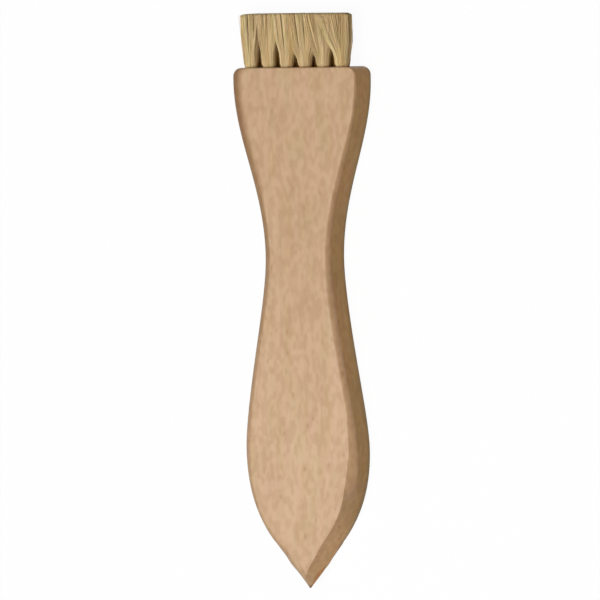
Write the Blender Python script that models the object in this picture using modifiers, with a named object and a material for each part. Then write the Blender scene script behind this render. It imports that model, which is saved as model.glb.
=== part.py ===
"""A flat wooden hand brush: bristle tufts anchored in holes in its wide end, and a point at the other end.

Units are metres. The brush lies on its back face. +X is its right side seen from the front, +Y runs
from the handle's point to the bristle tips, and +Z comes out of the front face. The origin is on the
back face, under the middle of the whole brush.
"""

import math

import bmesh
import bpy
import numpy as np

# Handle
HANDLE_LENGTH = 0.1450
HANDLE_THICKNESS = 0.0110
TIP_FLAT = 0.0003
TIP_HALF_ANGLE = math.radians(31.5)
TIP_TAPER_ANGLE = math.radians(45.8)
FLANK_HALF_ANGLE = math.radians(28)
FLANK_WIDTH = 0.0161
FLANK_STATION = 0.0125
SWELL_WIDTH = 0.0339
SWELL_STATION = 0.0388
WAIST_WIDTH = 0.0203
WAIST_STATION = 0.0920
HEAD_WIDTH = 0.0383
SHOULDER_RUN = 0.0010
CORNER_RADIUS = 0.0024

# How far the outline's curves pull along their ends, as lengths of Bezier handles
TIP_PULL = 0.0040
FLANK_PULL_DOWN = 0.0044
FLANK_PULL_UP = 0.0010
SWELL_PULL_DOWN = 0.0169
SWELL_PULL_UP = 0.0114
WAIST_PULL_DOWN = 0.0135
WAIST_PULL_UP = 0.0195
HEAD_PULL = 0.0170

# Eased edges
RIGHT_FRONT_EASE = 0.0005
LEFT_FRONT_EASE = 0.0026
BACK_EASE = 0.0010
GRIP_EASE = 0.0018
END_EASE = 0.0004

# Bristles and the holes they are set in
BRISTLE_LENGTH = 0.0150
HOLE_DIAMETER = 0.0038
HOLE_DEPTH = 0.0100
SIDE_WALL = 0.0011
WALL_BETWEEN_HOLES = 0.0009
BLOCK_SHIFT = -0.0002
MOUTH_RECESS = 0.0004
FOLD_THICKNESS = 0.0009
FOLD_ROUNDING = 0.0006
STRAND_ROOT_RADIUS = 0.00015
STRAND_TIP_RADIUS = 0.00014
STRAND_EMBED = 0.0005
STRAND_INSET = 0.0001
TIP_LEAN = -0.0003

# Flat wire anchors
ANCHOR_BITE = 0.00015
ANCHOR_WIDTH = 0.0018
ANCHOR_THICKNESS = 0.0004
ANCHOR_EASE = 0.0001

# Clearances
SEAT_CLEARANCE = 0.0003
TUFT_CLEARANCE = 0.0003
STRAND_CLEARANCE = 0.00008
CUT_OVERRUN = 0.0010

# Counts
FRONT_TUFTS = 6
STRAND_SIDES = 3
STRAND_STEPS = 2
PLUG_SIDES = 16
HOLE_SIDES = 20
CURVE_STEPS = 12
CORNER_STEPS = 4
EASE_STEPS = 2

END_WIDTH = HEAD_WIDTH - 2 * CORNER_RADIUS
TUFT_PITCH = (END_WIDTH - 2 * SIDE_WALL - HOLE_DIAMETER) / (FRONT_TUFTS - 1)
ROW_PITCH = math.sqrt((HOLE_DIAMETER + WALL_BETWEEN_HOLES) ** 2 - (TUFT_PITCH / 2) ** 2)
PLUG_RADIUS = HOLE_DIAMETER / 2 - SEAT_CLEARANCE
PLUG_BOTTOM = -(HOLE_DEPTH - SEAT_CLEARANCE)
ROOT_REACH = PLUG_RADIUS * math.cos(math.pi / PLUG_SIDES) - STRAND_ROOT_RADIUS - STRAND_INSET
STRAND_PITCH = 2 * STRAND_ROOT_RADIUS + STRAND_CLEARANCE
STRANDS_IN_TUFT = int(math.pi * (ROOT_REACH / STRAND_PITCH) ** 2)
ANCHOR_LENGTH = HOLE_DIAMETER + 2 * ANCHOR_BITE
ANCHOR_CENTRE = PLUG_BOTTOM + FOLD_THICKNESS + SEAT_CLEARANCE + ANCHOR_WIDTH / 2
WHOLE_LENGTH = HANDLE_LENGTH + BRISTLE_LENGTH
MOUTH_Y = HANDLE_LENGTH - WHOLE_LENGTH / 2
MIDDLE_Z = HANDLE_THICKNESS / 2

WOOD_COLOUR = (0.60, 0.39, 0.23, 1.0)
BRISTLE_COLOUR = (0.40, 0.29, 0.15, 1.0)
STEEL_COLOUR = (0.55, 0.55, 0.55, 1.0)


def clear_scene():
    for scene_object in list(bpy.data.objects):
        bpy.data.objects.remove(scene_object, do_unlink=True)


def new_collection(name):
    collection = bpy.data.collections.new(name)
    bpy.context.scene.collection.children.link(collection)
    return collection


def new_material(name, colour, roughness, metallic):
    material = bpy.data.materials.new(name)
    material.use_nodes = True
    shader = material.node_tree.nodes["Principled BSDF"]
    shader.inputs["Base Color"].default_value = colour
    shader.inputs["Roughness"].default_value = roughness
    shader.inputs["Metallic"].default_value = metallic
    material.diffuse_color = colour
    return material


def new_object(name, mesh, collection, parent=None):
    made = bpy.data.objects.new(name, mesh)
    collection.objects.link(made)
    made.parent = parent
    return made


def as_guide(helper):
    """Keeps a cutter, or a piece that is only joined to another, out of renders."""
    helper.hide_render = True
    helper.display_type = "WIRE"
    return helper


def mesh_of(name, bm):
    bmesh.ops.recalc_face_normals(bm, faces=bm.faces)
    mesh = bpy.data.meshes.new(name)
    bm.to_mesh(mesh)
    bm.free()
    return mesh


def loft(bm, rings):
    """Skins rings of equally many points, each ring a list of (x, y, z), and closes both ends."""
    loops = [[bm.verts.new(point) for point in ring] for ring in rings]
    for lower, upper in zip(loops, loops[1:]):
        for i in range(len(lower)):
            j = (i + 1) % len(lower)
            bm.faces.new((lower[i], lower[j], upper[j], upper[i]))
    bm.faces.new(loops[0])
    bm.faces.new(loops[-1])


def boolean(target, name, operation, other):
    modifier = target.modifiers.new(name, "BOOLEAN")
    modifier.operation = operation
    modifier.object = other


def smooth(mesh, sharp_angle):
    mesh.shade_smooth()
    mesh.set_sharp_from_angle(angle=sharp_angle)


def bezier(start, start_pull, end_pull, end, steps):
    """Points along a cubic Bezier curve, without its first point."""
    u = np.linspace(0, 1, steps + 1)[1:, None]
    ends = (1 - u) ** 3 * np.array(start) + u**3 * np.array(end)
    pulls = 3 * (1 - u) ** 2 * u * np.array(start_pull) + 3 * (1 - u) * u**2 * np.array(end_pull)
    return ends + pulls


def outline():
    """The right half of the handle's outline as (half width, station), from the point to the head's end.

    Four Bezier curves join the tip, the flank of the point, the swell, the waist and the shoulder of the
    head. A quarter circle rounds each corner of the head.
    """
    tip_rise = (math.sin(TIP_HALF_ANGLE), math.cos(TIP_HALF_ANGLE))
    flank_rise = (math.sin(FLANK_HALF_ANGLE), math.cos(FLANK_HALF_ANGLE))
    tip = (TIP_FLAT / 2, 0)
    flank = (FLANK_WIDTH / 2, FLANK_STATION)
    swell = (SWELL_WIDTH / 2, SWELL_STATION)
    waist = (WAIST_WIDTH / 2, WAIST_STATION)
    shoulder = (HEAD_WIDTH / 2, HANDLE_LENGTH - CORNER_RADIUS - SHOULDER_RUN)
    turns = np.linspace(0, math.pi / 2, CORNER_STEPS + 1)[:, None]
    corner_centre = np.array((END_WIDTH / 2, HANDLE_LENGTH - CORNER_RADIUS))
    corner = corner_centre + CORNER_RADIUS * np.hstack((np.cos(turns), np.sin(turns)))
    return np.vstack(
        (
            tip,
            bezier(
                tip,
                (tip[0] + TIP_PULL * tip_rise[0], tip[1] + TIP_PULL * tip_rise[1]),
                (flank[0] - FLANK_PULL_DOWN * flank_rise[0], flank[1] - FLANK_PULL_DOWN * flank_rise[1]),
                flank,
                CURVE_STEPS // 2,
            ),
            bezier(
                flank,
                (flank[0] + FLANK_PULL_UP * flank_rise[0], flank[1] + FLANK_PULL_UP * flank_rise[1]),
                (swell[0], swell[1] - SWELL_PULL_DOWN),
                swell,
                CURVE_STEPS,
            ),
            bezier(
                swell,
                (swell[0], swell[1] + SWELL_PULL_UP),
                (waist[0], waist[1] - WAIST_PULL_DOWN),
                waist,
                CURVE_STEPS,
            ),
            bezier(
                waist,
                (waist[0], waist[1] + WAIST_PULL_UP),
                (shoulder[0], shoulder[1] - HEAD_PULL),
                shoulder,
                CURVE_STEPS,
            ),
            corner,
        )
    )


def half_thickness(station):
    """Half the handle's thickness: it thins to the point, and its end's edges are eased."""
    tapered = TIP_FLAT / 2 + station * math.tan(TIP_TAPER_ANGLE)
    past_ease = max(0.0, station - (HANDLE_LENGTH - END_EASE))
    end_drop = END_EASE - math.sqrt(max(0.0, END_EASE**2 - past_ease**2))
    return min(HANDLE_THICKNESS / 2, tapered) - end_drop


def edge_ease(station, half_width, half_depth, head_ease):
    """Radius of a long edge: it changes from the head's to the grip's between the waist and the swell."""
    grip_share = np.clip((WAIST_STATION - station) / (WAIST_STATION - SWELL_STATION), 0, 1)
    wanted = head_ease + (GRIP_EASE - head_ease) * grip_share
    return min(wanted, half_width / 2, half_depth / 2)


def section(half_width, station):
    """A rectangle with rounded corners, square to the handle's length."""
    half_depth = half_thickness(station)
    ring = []
    for quarter, head_ease in enumerate((RIGHT_FRONT_EASE, LEFT_FRONT_EASE, BACK_EASE, BACK_EASE)):
        ease = edge_ease(station, half_width, half_depth, head_ease)
        for step in range(EASE_STEPS + 1):
            angle = (quarter + step / EASE_STEPS) * math.pi / 2
            side = 1 if quarter in (0, 3) else -1
            face = 1 if quarter in (0, 1) else -1
            x = side * (half_width - ease) + ease * math.cos(angle)
            z = face * (half_depth - ease) + ease * math.sin(angle)
            ring.append((x, station, z))
    return ring


def centred(count, pitch):
    return [(i - (count - 1) / 2) * pitch for i in range(count)]


def tuft_places():
    """The name's ending and the (x, z) place of every tuft, left to right, front row first.

    The back row has a tuft less, and its tufts stand behind the gaps of the front row.
    """
    rows = (("front", FRONT_TUFTS, ROW_PITCH / 2), ("back", FRONT_TUFTS - 1, -ROW_PITCH / 2))
    return [
        (f"{row}_{column}", x + BLOCK_SHIFT, z)
        for row, count, z in rows
        for column, x in enumerate(centred(count, TUFT_PITCH), start=1)
    ]


def add_cylinder(bm, radius, low, high, x, z, sides):
    """A closed cylinder along Y. Returns its vertices."""
    made = bmesh.ops.create_cone(
        bm, cap_ends=True, segments=sides, radius1=radius, radius2=radius, depth=high - low
    )
    for vertex in made["verts"]:
        across, up, along = vertex.co
        vertex.co = (x + across, (low + high) / 2 + along, z - up)
    return made["verts"]


def add_box(bm, size, centre):
    made = bmesh.ops.create_cube(bm, size=1)
    for vertex in made["verts"]:
        vertex.co = [c + s * v for c, s, v in zip(centre, size, vertex.co)]


def make_handle(places, parts, cutters, parent, material):
    """A loft along the outline, with a blind hole for each tuft and two notches for its anchor."""
    bm = bmesh.new()
    loft(bm, [section(half_width, station) for half_width, station in outline()])
    handle = new_object("handle", mesh_of("handle", bm), parts, parent)
    handle.location = (0, MOUTH_Y - HANDLE_LENGTH, 0)
    handle.data.materials.append(material)
    smooth(handle.data, math.radians(35))

    holes = bmesh.new()
    notches = bmesh.new()
    notch_size = (
        ANCHOR_LENGTH + 2 * SEAT_CLEARANCE,
        ANCHOR_WIDTH + 2 * SEAT_CLEARANCE,
        ANCHOR_THICKNESS + 2 * SEAT_CLEARANCE,
    )
    for _, x, z in places:
        add_cylinder(holes, HOLE_DIAMETER / 2, -HOLE_DEPTH, CUT_OVERRUN, x, z, HOLE_SIDES)
        add_box(notches, notch_size, (x, ANCHOR_CENTRE, z))
    for name, bm in (("tuft_holes", holes), ("anchor_notches", notches)):
        cutter = as_guide(new_object(name, mesh_of(name, bm), cutters, parent))
        cutter.location = (0, MOUTH_Y, 0)
        boolean(handle, name, "DIFFERENCE", cutter)


def strand_layout():
    """Strand places in a unit disc, on a sunflower spiral, which gives each an equal share of it."""
    index = np.arange(STRANDS_IN_TUFT)
    radius = np.sqrt((index + 0.5) / STRANDS_IN_TUFT)
    angle = index * math.pi * (3 - math.sqrt(5))
    return np.column_stack((radius * np.cos(angle), radius * np.sin(angle)))


def strand_rings(place):
    """A strand's rings from inside the plug to its trimmed tip.

    Every ring of every strand is the same layout stretched about the tuft's middle, so that strands
    spread as they rise and never cross. The stretch grows as a quarter sine wave, fastest at the hole's
    mouth, and the lean with the square of the height.
    """
    tip_reach_x = (TUFT_PITCH - TUFT_CLEARANCE) / 2 - STRAND_TIP_RADIUS
    tip_reach_z = (ROW_PITCH - TUFT_CLEARANCE) / 2 - STRAND_TIP_RADIUS
    low = -MOUTH_RECESS - STRAND_EMBED
    rings = []
    for step in range(STRAND_STEPS + 1):
        height = step / STRAND_STEPS
        spread = math.sin(height * math.pi / 2)
        lean = TIP_LEAN * height**2
        centre_x = place[0] * (ROOT_REACH + (tip_reach_x - ROOT_REACH) * spread) + lean
        centre_z = place[1] * (ROOT_REACH + (tip_reach_z - ROOT_REACH) * spread)
        y = low + (BRISTLE_LENGTH - low) * height
        radius = STRAND_ROOT_RADIUS + (STRAND_TIP_RADIUS - STRAND_ROOT_RADIUS) * height
        angles = [2 * math.pi * side / STRAND_SIDES for side in range(STRAND_SIDES)]
        rings.append(
            [(centre_x + radius * math.cos(a), y, centre_z + radius * math.sin(a)) for a in angles]
        )
    return rings


def tuft_mesh(cutters, material):
    """One tuft about its hole's mouth: the packed fold that fills the hole, and the strands above it.

    A window through the fold holds the anchor. The fold, less the window and with the strands joined on,
    becomes one mesh, which all the tufts share.
    """
    bm = bmesh.new()
    plug_vertices = add_cylinder(bm, PLUG_RADIUS, PLUG_BOTTOM, -MOUTH_RECESS, 0, 0, PLUG_SIDES)
    bottom = [v for v in plug_vertices if v.co.y < ANCHOR_CENTRE]
    rim = [e for e in bm.edges if e.verts[0] in bottom and e.verts[1] in bottom]
    bmesh.ops.bevel(bm, geom=rim, offset=FOLD_ROUNDING, segments=1, affect="EDGES")
    fold = as_guide(new_object("tuft_fold", mesh_of("tuft_fold", bm), cutters))

    bm = bmesh.new()
    window_size = (
        2 * PLUG_RADIUS + 2 * CUT_OVERRUN,
        ANCHOR_WIDTH + 2 * SEAT_CLEARANCE,
        ANCHOR_THICKNESS + 2 * SEAT_CLEARANCE,
    )
    add_box(bm, window_size, (0, ANCHOR_CENTRE, 0))
    window = as_guide(new_object("fold_window", mesh_of("fold_window", bm), cutters))

    bm = bmesh.new()
    for place in strand_layout():
        loft(bm, strand_rings(place))
    strands = as_guide(new_object("tuft_strands", mesh_of("tuft_strands", bm), cutters))

    boolean(fold, "anchor_window", "DIFFERENCE", window)
    boolean(fold, "join_strands", "UNION", strands)
    bpy.context.view_layer.update()
    joined = fold.evaluated_get(bpy.context.evaluated_depsgraph_get())
    mesh = bpy.data.meshes.new_from_object(joined)
    mesh.name = "tuft"
    mesh.materials.clear()
    mesh.materials.append(material)
    smooth(mesh, math.radians(50))
    for helper in (fold, window, strands):
        bpy.data.objects.remove(helper, do_unlink=True)
    return mesh


def anchor_mesh(material):
    bm = bmesh.new()
    add_box(bm, (ANCHOR_LENGTH, ANCHOR_WIDTH, ANCHOR_THICKNESS), (0, 0, 0))
    mesh = mesh_of("anchor", bm)
    mesh.materials.append(material)
    return mesh


def make_tufts(places, parts, cutters, parent, material):
    mesh = tuft_mesh(cutters, material)
    for ending, x, z in places:
        tuft = new_object(f"tuft_{ending}", mesh, parts, parent)
        tuft.location = (x, MOUTH_Y, z)


def make_anchors(places, parts, parent, material):
    mesh = anchor_mesh(material)
    for ending, x, z in places:
        anchor = new_object(f"anchor_{ending}", mesh, parts, parent)
        anchor.location = (x, MOUTH_Y + ANCHOR_CENTRE, z)
        bevel = anchor.modifiers.new("eased_edges", "BEVEL")
        bevel.width = ANCHOR_EASE
        bevel.segments = 1


def main():
    clear_scene()
    parts = new_collection("antistatic_brush")
    cutters = new_collection("cutters")
    cutters.hide_render = True
    middle = new_object("brush_middle", None, parts)
    middle.location = (0, 0, MIDDLE_Z)
    places = tuft_places()
    wood = new_material("beech", WOOD_COLOUR, 0.6, 0.0)
    bristle = new_material("natural_bristle", BRISTLE_COLOUR, 0.7, 0.0)
    steel = new_material("anchor_wire", STEEL_COLOUR, 0.35, 1.0)
    make_handle(places, parts, cutters, middle, wood)
    make_tufts(places, parts, cutters, middle, bristle)
    make_anchors(places, parts, middle, steel)


main()
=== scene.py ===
"""Looks of a flat wooden hand brush: a beech handle, tufts of natural bristle and their wire anchors.

Lengths are metres. +X is the brush's right side seen from the front, +Y runs from the handle's point to
the bristle tips, and +Z comes out of the front face. The brush lies on its back face at height zero.
"""

import math

import bpy
import numpy as np
from bpy.props import FloatProperty, FloatVectorProperty, IntProperty, PointerProperty
from mathutils import Matrix, Vector


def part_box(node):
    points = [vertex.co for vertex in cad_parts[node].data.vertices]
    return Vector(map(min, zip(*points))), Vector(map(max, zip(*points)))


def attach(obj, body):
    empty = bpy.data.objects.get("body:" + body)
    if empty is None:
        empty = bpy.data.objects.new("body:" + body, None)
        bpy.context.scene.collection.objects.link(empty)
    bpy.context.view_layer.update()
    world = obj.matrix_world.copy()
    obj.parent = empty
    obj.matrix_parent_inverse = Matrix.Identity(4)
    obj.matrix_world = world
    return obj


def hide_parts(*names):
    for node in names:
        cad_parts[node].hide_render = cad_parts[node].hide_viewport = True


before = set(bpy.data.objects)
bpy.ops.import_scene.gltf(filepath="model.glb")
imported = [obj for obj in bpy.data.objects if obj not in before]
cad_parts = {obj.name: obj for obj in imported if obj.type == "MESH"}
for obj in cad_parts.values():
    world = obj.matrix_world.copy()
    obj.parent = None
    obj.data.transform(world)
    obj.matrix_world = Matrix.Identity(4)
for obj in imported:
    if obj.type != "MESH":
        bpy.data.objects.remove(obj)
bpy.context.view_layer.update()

bl_info = {
    "name": "Flat wooden hand brush",
    "version": (1, 0, 0),
    "blender": (4, 5, 0),
    "location": "View3D > Sidebar > Hand brush",
    "description": "Builds a beech hand brush with natural bristle tufts",
    "category": "Add Mesh",
}

MM = 0.001
PHOTO_PIXELS = 600
WHITE = (1.0, 1.0, 1.0, 1.0)
KEY_DIRECTION = (0.05, -0.1, 1)
HANDLE_LOW, HANDLE_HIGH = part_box("handle")
ANCHOR_NODES = sorted(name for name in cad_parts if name.startswith("anchor_"))
TUFT_NODES = sorted(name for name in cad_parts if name.startswith("tuft_"))
BRISTLE_END = max(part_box(name)[1].y for name in TUFT_NODES)
ROW_END = max(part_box(name)[1].x for name in TUFT_NODES)
HANDLE_LENGTH = HANDLE_HIGH.y - HANDLE_LOW.y
HALF_THICKNESS = HANDLE_HIGH.z / 2


def anchor_centre(ending):
    """Middle of the anchor whose node's name has that ending, such as front_1."""
    low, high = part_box(f"anchor_{ending}")
    return (low + high) / 2


def linear(*levels):
    """A colour given in the 0 to 255 levels of a screen, as linear light from 0 to 1."""
    level = np.array(levels) / 255
    return np.where(level <= 0.04045, level / 12.92, ((level + 0.055) / 1.055) ** 2.4).tolist()


def length(name, description, default):
    return FloatProperty(
        name=name, description=description, default=default, min=0, precision=5, unit="LENGTH"
    )


def angle(name, description, degrees):
    return FloatProperty(
        name=name, description=description, default=math.radians(degrees), subtype="ANGLE"
    )


def share(name, description, default):
    return FloatProperty(name=name, description=description, default=default, subtype="FACTOR")


def count(name, description, default):
    return IntProperty(name=name, description=description, default=default, min=1)


def numbers(name, description, *default, **settings):
    """One property that holds several numbers, such as one for each gap of a row."""
    return FloatVectorProperty(
        name=name, description=description, size=len(default), default=default, **settings
    )


def lengths(name, description, *default):
    return numbers(name, description, *default, precision=5, unit="LENGTH")


def colour(name, description, *levels):
    return numbers(name, description, *linear(*levels), subtype="COLOR", min=0, max=1)


class HandBrushHandle(bpy.types.PropertyGroup):
    """Sizes of the wooden handle. A station is a distance along it from its point."""

    tip_flat: length("Tip flat", "Width and thickness that the point ends in", 0.3 * MM)
    tip_half_angle: angle("Tip half angle", "Between the middle and the outline at the very tip", 31.5)
    tip_taper: angle("Tip taper", "Between the middle plane and the faces near the tip", 45.8)
    flank_half_angle: angle("Flank half angle", "Between the middle and the outline at the flank", 28.0)
    flank_width: length("Flank width", "Width where the point's sides turn into the swell", 16.1 * MM)
    flank_station: length("Flank station", "Where the flank width is measured", 12.5 * MM)
    swell_width: length("Swell width", "Width at the widest place of the grip", 33.9 * MM)
    swell_station: length("Swell station", "Where the grip is widest", 38.8 * MM)
    waist_width: length("Waist width", "Width at the narrowest place", 20.3 * MM)
    waist_station: length("Waist station", "Where the handle is narrowest", 92.0 * MM)
    head_width: length("Head width", "Width at the mouth of the head", 2 * HANDLE_HIGH.x)
    shoulder_run: length("Shoulder run", "Straight length below the rounded corners", 1.0 * MM)
    corner_radius: length("Corner radius", "Of the head's two corners, along the handle", 2.4 * MM)
    corner_across: length("Corner across", "How far those corners reach across the head", 2.5 * MM)
    right_ease: length("Right edge", "Rounding of the crisp front edge on the right", 0.9 * MM)
    left_reach: length("Left edge across", "Reach of the head's worn left edge across the front", 4.4 * MM)
    left_drop: length("Left edge down", "Reach of the head's worn left edge down the side", 2.8 * MM)
    back_ease: length("Back edges", "Rounding of both back edges at the head", 1.0 * MM)
    grip_ease: length("Grip edge", "Bevel of the left edge at the grip, twice that of the back", 2.2 * MM)
    end_ease: length("End rim", "Rounding of the rim round the head's end", 0.4 * MM)
    crescent_width: length("Crescent width", "Reach of the swell's right bevel across the front", 2.2 * MM)
    crescent_height: length("Crescent height", "Reach of the swell's right bevel down the side", 2.0 * MM)
    facet_width: length("Facet width", "Reach of the point's right facet across the front", 2.1 * MM)
    facet_height: length("Facet height", "Reach of the point's right facet down the side", 8.2 * MM)
    bow: length("Bow", "How far the upper swell stands to the left of the middle", 0.4 * MM)
    hole_diameter: length("Hole diameter", "Of each tuft's blind hole", 3.8 * MM)
    hole_depth: length("Hole depth", "Of each hole's straight wall", 10.0 * MM)
    notch_clearance: length("Notch clearance", "Between an anchor and the wood it bites into", 0.05 * MM)


class HandBrushBristle(bpy.types.PropertyGroup):
    """Sizes of the bristle tufts."""

    hairs: count("Hairs", "Hairs in a tuft, each folded into two legs", 340)
    hair_diameter: length("Hair diameter", "Mean thickness of a hair", 0.13 * MM)
    clumps: count("Clumps", "Strands that a tuft's hairs gather in", 34)
    clump_pull: share("Clump pull", "How far hairs gather towards their clump's middle", 0.4)
    overlap: length("Overlap", "How far neighbouring tufts mingle at their tips", 0.25 * MM)
    end_reaches: lengths(
        "End reaches", "Half width of the outermost tufts to the left and the right", 2.1 * MM, 2.75 * MM
    )
    end_heights: numbers(
        "End heights", "Share of the length at which those tufts have spread left and right", 0.75, 0.45
    )
    depth_reach: length("Depth reach", "Half depth of a tuft at its tip", 2.0 * MM)
    gap_heights: numbers(
        "Gap heights",
        "Share of the bristle's length at which each gap of the front row has closed",
        *(0.66, 0.54, 0.29, 0.33, 0.46),
    )
    # The dark heights and the half shade set how far painted shade reaches up the front row's gaps.
    dark_heights: numbers(
        "Dark heights",
        "Share of the length up to which each of those gaps is fully dark",
        *(0.2, 0.5, 0.2, 0.2, 0.46),
    )
    half_shade: share("Half shade", "Darkness of the open gaps above their dark part", 0.35)
    mouth_flare: share("Mouth flare", "Share by which a tuft swells as it leaves its hole", 0.06)
    mouth_square: share("Mouth square", "How far a tuft turns square as it leaves its hole", 0.45)
    hidden_gap: share("Hidden gap", "Share of the length at which the back row's gaps have closed", 0.02)
    fan_leans: lengths(
        "Fan leans",
        "How far the front left hairs of each front tuft have bent to the left at their tips",
        *(0.3 * MM, -0.3 * MM, 0.5 * MM, 1.2 * MM, 3.0 * MM, 4.7 * MM),
    )
    wave: length("Wave", "How far strands bow out at half their height", 0.12 * MM)
    waver: length("Waver", "How far hairs stray at their tips", 0.13 * MM)
    trim: length("Trim", "Unevenness of the trimmed ends", 0.12 * MM)
    lean: length("Lean", "How far the whole block has bent to the left at its tips", 0.3 * MM)
    right_fall: length("Right fall", "How far the trimmed top falls off towards its right end", 0.1 * MM)
    corner_fall: length("Corner fall", "How far the trimmed top falls off at both its corners", 0.35 * MM)
    seed: count("Seed", "Picks the random arrangement", 7)


class HandBrushFinish(bpy.types.PropertyGroup):
    """Colours of the wood, the bristle and the wire."""

    # The grip's colour is lighter than the head's: painted light, standing in for light that falls more
    # strongly towards the point.
    grip_wood: colour("Grip wood", "Front face at the swell", 216, 183, 149)
    head_wood: colour("Head wood", "Front face at the head", 207, 174, 139)
    side_tint: colour("Side tint", "What the wood's colour is multiplied by on its sides", 255, 233, 170)
    pale_bristle: colour("Pale bristle", "Lightest hairs", 244, 221, 173)
    dark_bristle: colour("Dark bristle", "Darkest hairs", 212, 171, 113)
    wire: colour("Wire", "Bare steel of the anchors", 196, 196, 196)


class HandBrushStage(bpy.types.PropertyGroup):
    """Camera, light and floor. Pixels are those of a picture 600 pixels wide and high."""

    yaw: angle("Yaw", "How far the camera stands round to the brush's right", 24.0)
    pitch: angle("Pitch", "How far the camera looks down onto the bristle end", 2.8)
    roll: angle("Roll", "How far the brush leans to the left in the picture", 1.1)
    lens: FloatProperty(name="Lens", description="Focal length", default=500, unit="CAMERA")
    view_height: length("View height", "What the picture's height shows at the brush", 167.0 * MM)
    tip_pixel: numbers("Tip pixel", "Where the point's tip falls in the picture", 310.5, 588)
    key_power: FloatProperty(name="Key power", description="Of the large lamp", default=10.9, unit="POWER")
    key_size: length("Key size", "Side of the large square lamp", 0.6)
    key_distance: length("Key distance", "From the middle of the brush to the large lamp", 1.1)
    sky: share("Sky", "Strength of the light from all round", 0.10)
    floor_bounce: share("Floor bounce", "Grey level of the floor as the brush sees it", 0.52)
    shadow_share: share("Shadow share", "How strongly the floor shows the shadow", 0.05)


def smooth_between(places, knots, values):
    """Values at the places: between two knots a value follows v0 + (v1 - v0) (3 u^2 - 2 u^3)."""
    knots = np.asarray(knots, float)
    values = np.asarray(values, float)
    lower = np.clip(np.searchsorted(knots, places, side="right") - 1, 0, len(knots) - 2)
    u = np.clip((places - knots[lower]) / (knots[lower + 1] - knots[lower]), 0, 1)
    return values[lower] + (values[lower + 1] - values[lower]) * u * u * (3 - 2 * u)


def skins_mesh(name, grids):
    """One mesh of many closed skins, where grids[k, i, j] is point j round ring i of skin k.

    Each four neighbouring points of a skin, two on each of two rings, are a face, and its first and last
    ring are closed by a face of their own. Rings run from +X towards +Z and follow each other along +Y.
    """
    skins, rings, around = grids.shape[:3]
    first = np.arange(skins)[:, None, None] * rings * around
    here = first + np.arange(rings - 1)[None, :, None] * around + np.arange(around)
    beside = first + np.arange(rings - 1)[None, :, None] * around + (np.arange(around) + 1) % around
    sides = np.stack((here, here + around, beside + around, beside), axis=-1).reshape(-1, 4)
    start_caps = first[:, 0] + np.arange(around)
    end_caps = first[:, 0] + (rings - 1) * around + np.arange(around)[::-1]
    caps = np.concatenate((start_caps, end_caps))
    corners = np.concatenate((sides.ravel(), caps.ravel()))
    sizes = np.concatenate((np.full(len(sides), 4), np.full(len(caps), around)))
    starts = np.cumsum(sizes) - sizes
    mesh = bpy.data.meshes.new(name)
    mesh.vertices.add(skins * rings * around)
    mesh.vertices.foreach_set("co", grids.astype(np.float32).ravel())
    mesh.loops.add(len(corners))
    mesh.loops.foreach_set("vertex_index", corners.astype(np.int32))
    mesh.polygons.add(len(sizes))
    mesh.polygons.foreach_set("loop_start", starts.astype(np.int32))
    mesh.update(calc_edges=True)
    mesh.validate()
    return mesh


def add_piece(name, mesh, material=None):
    """A new object with that mesh, linked to the scene."""
    piece = bpy.data.objects.new(name, mesh)
    bpy.context.scene.collection.objects.link(piece)
    if material is not None:
        mesh.materials.append(material)
    return piece


def bezier_run(start, start_pull, end_pull, end, steps):
    """Points of the cubic curve (1-u)^3 A + 3 (1-u)^2 u B + 3 (1-u) u^2 C + u^3 D, without the first."""
    u = np.linspace(0, 1, steps + 1)[1:, None]
    outer = (1 - u) ** 3 * np.array(start) + u**3 * np.array(end)
    inner = 3 * (1 - u) ** 2 * u * np.array(start_pull) + 3 * (1 - u) * u**2 * np.array(end_pull)
    return outer + inner


def outline(sizes):
    """The right half of the outline as (half width, station): four cubic curves from the tip to the head.

    Each run is (start, direction there, its pull, the end's pull, direction there, end).
    """
    tip = (sizes.tip_flat / 2, 0.0)
    flank = (sizes.flank_width / 2, sizes.flank_station)
    swell = (sizes.swell_width / 2, sizes.swell_station)
    waist = (sizes.waist_width / 2, sizes.waist_station)
    head = (sizes.head_width / 2, HANDLE_LENGTH - sizes.corner_radius - sizes.shoulder_run)
    tip_rise = (math.sin(sizes.tip_half_angle), math.cos(sizes.tip_half_angle))
    flank_rise = (math.sin(sizes.flank_half_angle), math.cos(sizes.flank_half_angle))
    straight = (0.0, 1.0)
    runs = (
        (tip, tip_rise, 4.0 * MM, 4.4 * MM, flank_rise, flank),
        (flank, flank_rise, 1.0 * MM, 16.9 * MM, straight, swell),
        (swell, straight, 11.4 * MM, 13.5 * MM, straight, waist),
        (waist, straight, 19.5 * MM, 17.0 * MM, straight, head),
    )
    curve_steps = 200
    points = [[tip]]
    for start, leaving, pull_out, pull_in, arriving, end in runs:
        start_pull = np.array(start) + pull_out * np.array(leaving)
        end_pull = np.array(end) - pull_in * np.array(arriving)
        points.append(bezier_run(start, start_pull, end_pull, end, curve_steps))
    return np.vstack(points)


def half_width_at(stations, sizes):
    """Half the width: the outline, held at the head's width, then a quarter ellipse round each corner."""
    curve = outline(sizes)
    width = np.interp(stations, curve[:, 1], curve[:, 0])
    past = np.clip((stations - HANDLE_LENGTH) / sizes.corner_radius + 1, 0, 1)
    return width - sizes.corner_across * (1 - np.sqrt(1 - past**2))


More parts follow.
